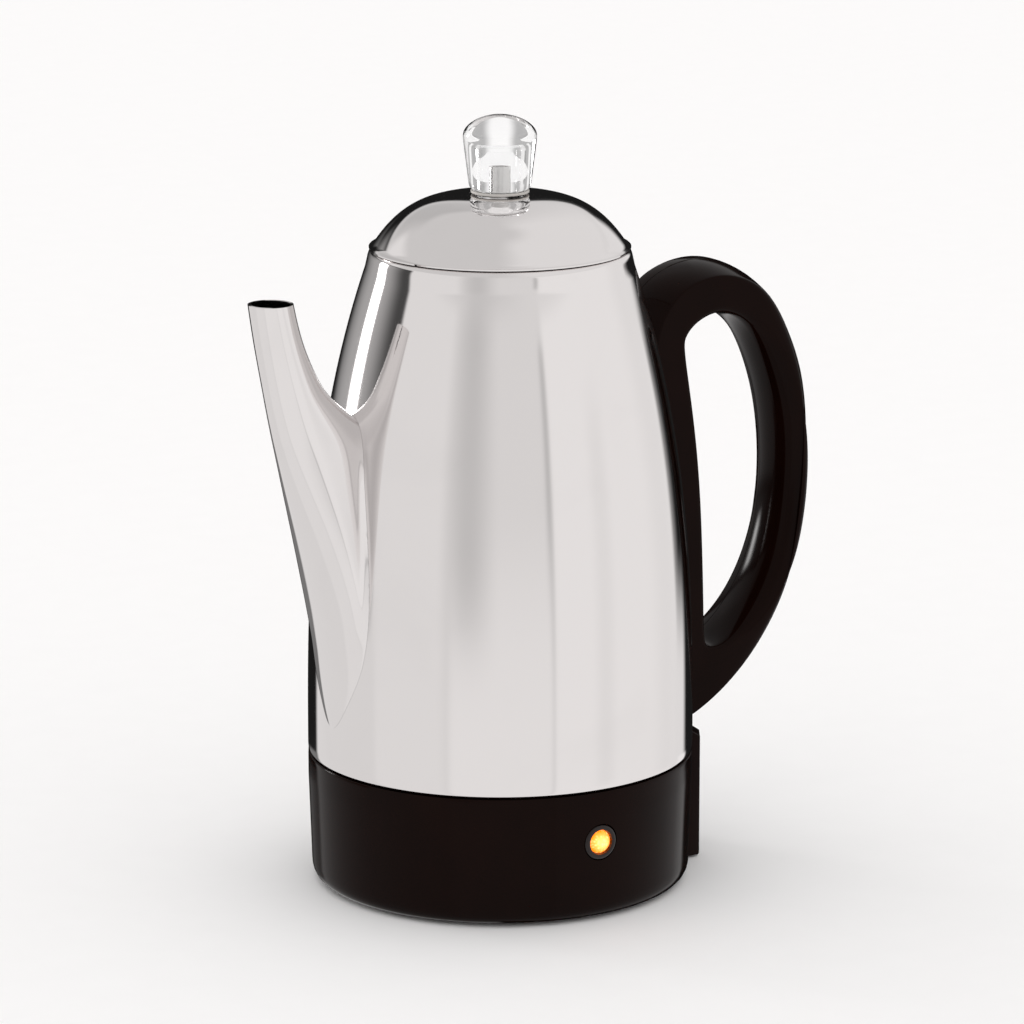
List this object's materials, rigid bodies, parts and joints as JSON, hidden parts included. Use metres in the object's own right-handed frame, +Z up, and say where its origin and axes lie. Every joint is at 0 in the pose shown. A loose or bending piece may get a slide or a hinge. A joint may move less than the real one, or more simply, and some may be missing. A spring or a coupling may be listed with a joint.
{
  "type": "electric coffee percolator",
  "caption": "Countertop percolator: tapered steel pot with spout and handle on a plastic heating base; lid, clear knob, basket and pump tube lift out.",
  "frame": {"origin": "centre of the base's underside, on the pot's axis, within 2 mm of the table plane that the foot ring stands on", "axes": "+Z up along the pot's axis, -X towards the spout, +X towards the handle and the power inlet, -Y towards the indicator lamp"},
  "size_m": [0.2431, 0.1512, 0.3002],
  "materials": {
    "polished_steel": "mirror polished stainless steel",
    "spun_steel": "spun, satin",
    "zinc_steel": "zinc plated",
    "base_plastic": "gloss brown-black",
    "bezel_plastic": "satin black",
    "clear_plastic": "clear, polished",
    "amber_lens": "translucent amber, lit",
    "silicone": "matte silicone",
    "lamp_glass": "glazed",
    "live_wire": "matte insulation",
    "neutral_wire": "matte insulation"
  },
  "bodies": {
    "pot": {"pot_body": "polished_steel", "spout": "polished_steel", "base_skirt": "base_plastic", "bottom_cover": "base_plastic", "cover_screw_1": "zinc_steel", "cover_screw_2": "zinc_steel", "cover_screw_3": "zinc_steel", "indicator_lens": "amber_lens", "indicator_bezel": "bezel_plastic", "indicator_lamp": "lamp_glass", "inlet_housing": "base_plastic", "inlet_pin_left": "zinc_steel", "inlet_pin_right": "zinc_steel", "handle_body": "base_plastic", "handle_cover": "base_plastic", "handle_bracket_top": "spun_steel", "handle_bracket_bottom": "spun_steel", "handle_screw_top": "zinc_steel", "handle_screw_bottom": "zinc_steel", "base_clamp_bar": "zinc_steel", "pump_well": "spun_steel", "well_gasket": "silicone", "well_nut": "zinc_steel", "heater_element": "spun_steel", "thermostat": "zinc_steel", "thermal_fuse": "zinc_steel", "wire_inlet_thermostat": "live_wire", "wire_thermostat_fuse": "live_wire", "wire_fuse_heater": "live_wire", "wire_heater_inlet": "neutral_wire", "wire_lamp_neutral": "neutral_wire", "wire_lamp_live": "live_wire"},
    "pump": {"pump_tube": "spun_steel", "pump_base": "spun_steel", "valve_seat": "spun_steel"},
    "valve": {"valve_disc": "spun_steel"},
    "coffee_basket": {"basket": "spun_steel"},
    "water_spreader": {"spreader": "spun_steel"},
    "lid": {"lid_dome": "polished_steel", "lid_ring": "spun_steel", "knob_seal": "silicone"},
    "percolator_knob": {"knob": "clear_plastic"}
  },
  "joints": [
    {"name": "pump_lift", "type": "slide", "parent": "pot", "child": "pump", "axis": [0, 0, 1], "range_m": [0, 0.22]},
    {"name": "valve_lift", "type": "slide", "parent": "pump", "child": "valve", "axis": [0, 0, 1], "range_m": [0, 0.0012]},
    {"name": "basket_lift", "type": "slide", "parent": "pump", "child": "coffee_basket", "axis": [0, 0, 1], "range_m": [0, 0.12]},
    {"name": "spreader_lift", "type": "slide", "parent": "coffee_basket", "child": "water_spreader", "axis": [0, 0, 1], "range_m": [0, 0.06]},
    {"name": "lid_lift", "type": "slide", "parent": "water_spreader", "child": "lid", "axis": [0, 0, 1], "range_m": [0, 0.06]},
    {"name": "knob_twist", "type": "hinge", "parent": "lid", "child": "percolator_knob", "pos_m": [0, 0, 0.268], "axis": [0, 0, 1], "range_deg": [0, 90]}
  ]
}
